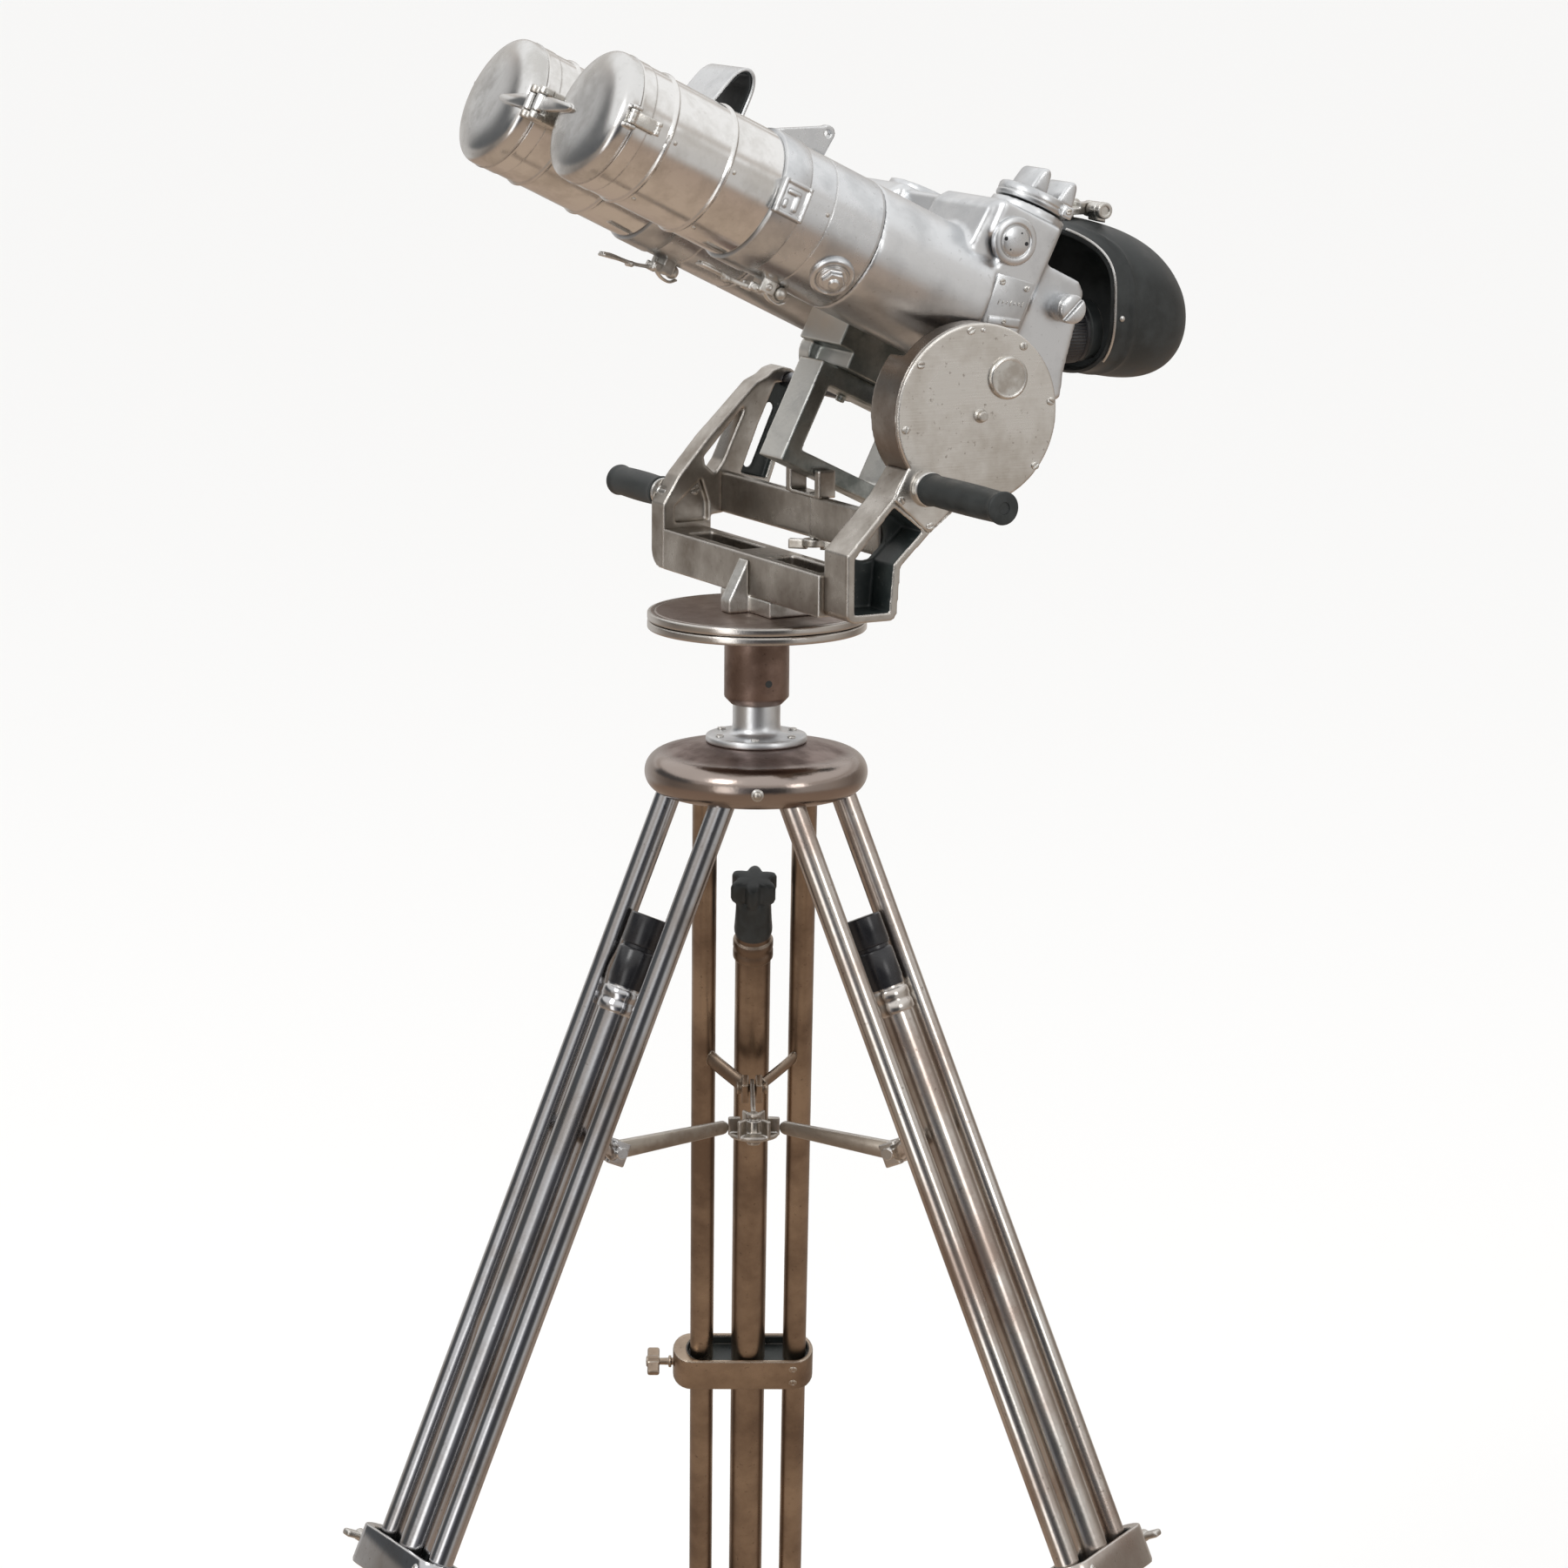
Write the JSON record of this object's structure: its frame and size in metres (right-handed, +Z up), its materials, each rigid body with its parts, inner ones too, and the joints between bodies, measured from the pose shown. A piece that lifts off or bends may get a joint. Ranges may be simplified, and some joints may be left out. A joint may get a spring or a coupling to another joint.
{
  "type": "marine observation binoculars",
  "caption": "Large observation binoculars with hinged objective lids and a face shield, on a fork mount that turns and tilts, over a three-legged tubular stand.",
  "frame": {"origin": "on the floor under the azimuth axis, between the feet", "axes": "+Z up; the objectives look along -Y; +X is the user's left"},
  "size_m": [0.8501, 0.8284, 1.5067],
  "materials": {
    "cast_stand": "brown patina",
    "bright_steel": "polished",
    "brown_steel": "turned, brown patina",
    "fork_steel": "brushed, stained",
    "pale_casting": "rough cast",
    "fastener": "bright",
    "spring_steel": "blued",
    "rubber": "ribbed",
    "green_casting": "sand cast",
    "barrel_alloy": "satin",
    "hood_metal": "polished",
    "lens_glass": "coated",
    "filter_glass": "tinted",
    "eyepiece_black": "black enamel",
    "leg_bronze": "bronze brown",
    "leg_chrome": "bright",
    "bar_steel": "satin"
  },
  "bodies": {
    "stand_head": {"tripod_head": "cast_stand", "stand_screws": "fastener", "column_flange": "bright_steel", "turntable_base": "brown_steel"},
    "turntable": {"turntable_disc": "brown_steel", "azimuth_shaft": "fastener", "yoke_pedestal": "pale_casting", "yoke_front_beam": "fork_steel", "yoke_rear_beam": "fork_steel", "left_yoke_arm": "fork_steel", "right_yoke_arm": "fork_steel", "drum_housing": "fork_steel", "drum_cover": "fork_steel", "drum_fittings": "fastener", "balance_spring": "spring_steel", "handle_rods": "bright_steel", "handle_grips": "rubber", "elevation_clamp": "fork_steel"},
    "elevation_screw": {"elevation_wing_screw": "fastener"},
    "binocular": {"elevation_shaft": "spring_steel", "cradle_frame": "green_casting", "saddle_block": "green_casting", "left_barrel": "barrel_alloy", "right_barrel": "barrel_alloy", "body_casting": "barrel_alloy", "objective_hoods": "hood_metal", "optics": "lens_glass", "lid_hinge_bracket": "fastener", "sight_hood": "barrel_alloy", "sight_lug": "barrel_alloy", "side_fittings": "barrel_alloy", "shield_bracket": "fastener"},
    "left_lid": {"left_lid": "hood_metal"},
    "right_lid": {"right_lid": "hood_metal"},
    "left_catch": {"left_lid_catch": "fastener"},
    "right_catch": {"right_lid_catch": "fastener"},
    "left_latch": {"left_latch": "fastener"},
    "right_latch": {"right_latch": "fastener"},
    "filter_turret": {"filter_knob": "barrel_alloy", "filter_carrier": "filter_glass"},
    "left_eyepiece": {"left_eyepiece": "eyepiece_black", "left_eyecup": "rubber"},
    "right_eyepiece": {"right_eyepiece": "eyepiece_black", "right_eyecup": "rubber"},
    "face_shield": {"face_shield_arm": "fastener", "face_shield_rim": "bright_steel", "face_shield_rubber": "rubber"},
    "spreader_hub": {"spreader_hub": "bar_steel"},
    "leg_a": {"leg_a_frame": "leg_bronze"},
    "centre_tube_a": {"leg_a_slide": "leg_bronze"},
    "leg_screw_a": {"leg_a_wing_screw": "fastener"},
    "bar_a": {"spreader_bar_a": "bar_steel"},
    "leg_b": {"leg_b_frame": "leg_chrome"},
    "centre_tube_b": {"leg_b_slide": "leg_chrome"},
    "leg_screw_b": {"leg_b_wing_screw": "fastener"},
    "bar_b": {"spreader_bar_b": "bar_steel"},
    "leg_c": {"leg_c_frame": "leg_chrome"},
    "centre_tube_c": {"leg_c_slide": "leg_chrome"},
    "leg_screw_c": {"leg_c_wing_screw": "fastener"},
    "bar_c": {"spreader_bar_c": "bar_steel"}
  },
  "joints": [
    {"name": "azimuth", "type": "hinge", "parent": "stand_head", "child": "turntable", "pos_m": [0, 0, 1.1], "axis": [0, 0, 1], "continuous": true},
    {"name": "elevation", "type": "hinge", "parent": "turntable", "child": "binocular", "pos_m": [0, 0.095, 1.248], "axis": [1, 0, 0], "range_deg": [-50, 10]},
    {"name": "elevation_lock", "type": "hinge", "parent": "turntable", "child": "elevation_screw", "pos_m": [0.008, 0.042, 1.145], "axis": [0, 0, 1], "range_deg": [0, 180]},
    {"name": "left_lid_swing", "type": "hinge", "parent": "binocular", "child": "left_lid", "pos_m": [0.007, -0.17647, 1.46912], "axis": [0, -0.4384, -0.8988], "range_deg": [0, 90]},
    {"name": "right_lid_swing", "type": "hinge", "parent": "binocular", "child": "right_lid", "pos_m": [-0.007, -0.17647, 1.46912], "axis": [0, 0.4384, 0.8988], "range_deg": [0, 90]},
    {"name": "left_catch_swing", "type": "hinge", "parent": "left_lid", "child": "left_catch", "pos_m": [0.1256, -0.16568, 1.46386], "axis": [0, -0.4384, -0.8988], "range_deg": [0, 100]},
    {"name": "right_catch_swing", "type": "hinge", "parent": "right_lid", "child": "right_catch", "pos_m": [-0.1256, -0.16568, 1.46386], "axis": [0, 0.4384, 0.8988], "range_deg": [0, 100]},
    {"name": "left_latch_swing", "type": "hinge", "parent": "binocular", "child": "left_latch", "pos_m": [0.0741, -0.04732, 1.34383], "axis": [1, 0, 0], "range_deg": [0, 110]},
    {"name": "right_latch_swing", "type": "hinge", "parent": "binocular", "child": "right_latch", "pos_m": [-0.0741, -0.04732, 1.34383], "axis": [1, 0, 0], "range_deg": [-10, 100]},
    {"name": "filter_turn", "type": "hinge", "parent": "binocular", "child": "filter_turret", "pos_m": [0.0741, 0.17524, 1.3827], "axis": [0, 0.4384, 0.8988], "range_deg": [0, 270]},
    {"name": "left_focus", "type": "hinge", "parent": "binocular", "child": "left_eyepiece", "pos_m": [0.0325, 0.22, 1.295], "axis": [0, 1, 0], "range_deg": [-150, 150]},
    {"name": "right_focus", "type": "hinge", "parent": "binocular", "child": "right_eyepiece", "pos_m": [-0.0325, 0.22, 1.295], "axis": [0, 1, 0], "range_deg": [-150, 150]},
    {"name": "shield_tilt", "type": "hinge", "parent": "binocular", "child": "face_shield", "pos_m": [0, 0.268, 1.381], "axis": [1, 0, 0], "range_deg": [0, 75]},
    {"name": "leg_a_fold", "type": "hinge", "parent": "stand_head", "child": "leg_a", "pos_m": [-0.04176, 0.02157, 0.975], "axis": [-0.459, -0.8885, 0], "range_deg": [0, 18]},
    {"name": "centre_tube_a_slide", "type": "slide", "parent": "leg_a", "child": "centre_tube_a", "axis": [-0.3543, 0.183, -0.9171], "range_m": [0, 0.38]},
    {"name": "leg_screw_a_turn", "type": "hinge", "parent": "leg_a", "child": "leg_screw_a", "pos_m": [-0.27742, 0.07015, 0.44219], "axis": [-0.459, -0.8885, 0], "range_deg": [0, 180]},
    {"name": "bar_a_fold", "type": "hinge", "parent": "leg_a", "child": "bar_a", "pos_m": [-0.10393, 0.05369, 0.71199], "axis": [-0.459, -0.8885, 0], "range_deg": [0, 62]},
    {"name": "leg_b_fold", "type": "hinge", "parent": "stand_head", "child": "leg_b", "pos_m": [0.0022, -0.04695, 0.975], "axis": [0.9989, 0.0468, 0], "range_deg": [0, 18]},
    {"name": "centre_tube_b_slide", "type": "slide", "parent": "leg_b", "child": "centre_tube_b", "axis": [0.0186, -0.3983, -0.9171], "range_m": [0, 0.38]},
    {"name": "leg_screw_b_turn", "type": "hinge", "parent": "leg_b", "child": "leg_screw_b", "pos_m": [-0.05153, -0.28937, 0.42385], "axis": [0.9989, 0.0468, 0], "range_deg": [0, 180]},
    {"name": "bar_b_fold", "type": "hinge", "parent": "leg_b", "child": "bar_b", "pos_m": [0.00547, -0.11685, 0.71199], "axis": [0.9989, 0.0468, 0], "range_deg": [0, 62]},
    {"name": "leg_c_fold", "type": "hinge", "parent": "stand_head", "child": "leg_c", "pos_m": [0.03956, 0.02538, 0.975], "axis": [-0.5399, 0.8417, 0], "range_deg": [0, 18]},
    {"name": "centre_tube_c_slide", "type": "slide", "parent": "leg_c", "child": "centre_tube_c", "axis": [0.3356, 0.2153, -0.9171], "range_m": [0, 0.38]},
    {"name": "leg_screw_c_turn", "type": "hinge", "parent": "leg_c", "child": "leg_screw_c", "pos_m": [0.20617, 0.20949, 0.42385], "axis": [-0.5399, 0.8417, 0], "range_deg": [0, 180]},
    {"name": "bar_c_fold", "type": "hinge", "parent": "leg_c", "child": "bar_c", "pos_m": [0.09846, 0.06316, 0.71199], "axis": [-0.5399, 0.8417, 0], "range_deg": [0, 62]},
    {"name": "hub_slide", "type": "slide", "parent": "stand_head", "child": "spreader_hub", "axis": [0, 0, 1], "range_m": [0, 0.088]}
  ],
  "couplings": [
    {"joint": "leg_b_fold", "follows": "leg_a_fold", "ratio": 1},
    {"joint": "leg_c_fold", "follows": "leg_a_fold", "ratio": 1},
    {"joint": "hub_slide", "follows": "leg_a_fold", "m_per_rad": 0.2725},
    {"joint": "bar_a_fold", "follows": "leg_a_fold", "ratio": 3.317},
    {"joint": "bar_b_fold", "follows": "leg_a_fold", "ratio": 3.317},
    {"joint": "bar_c_fold", "follows": "leg_a_fold", "ratio": 3.317}
  ]
}
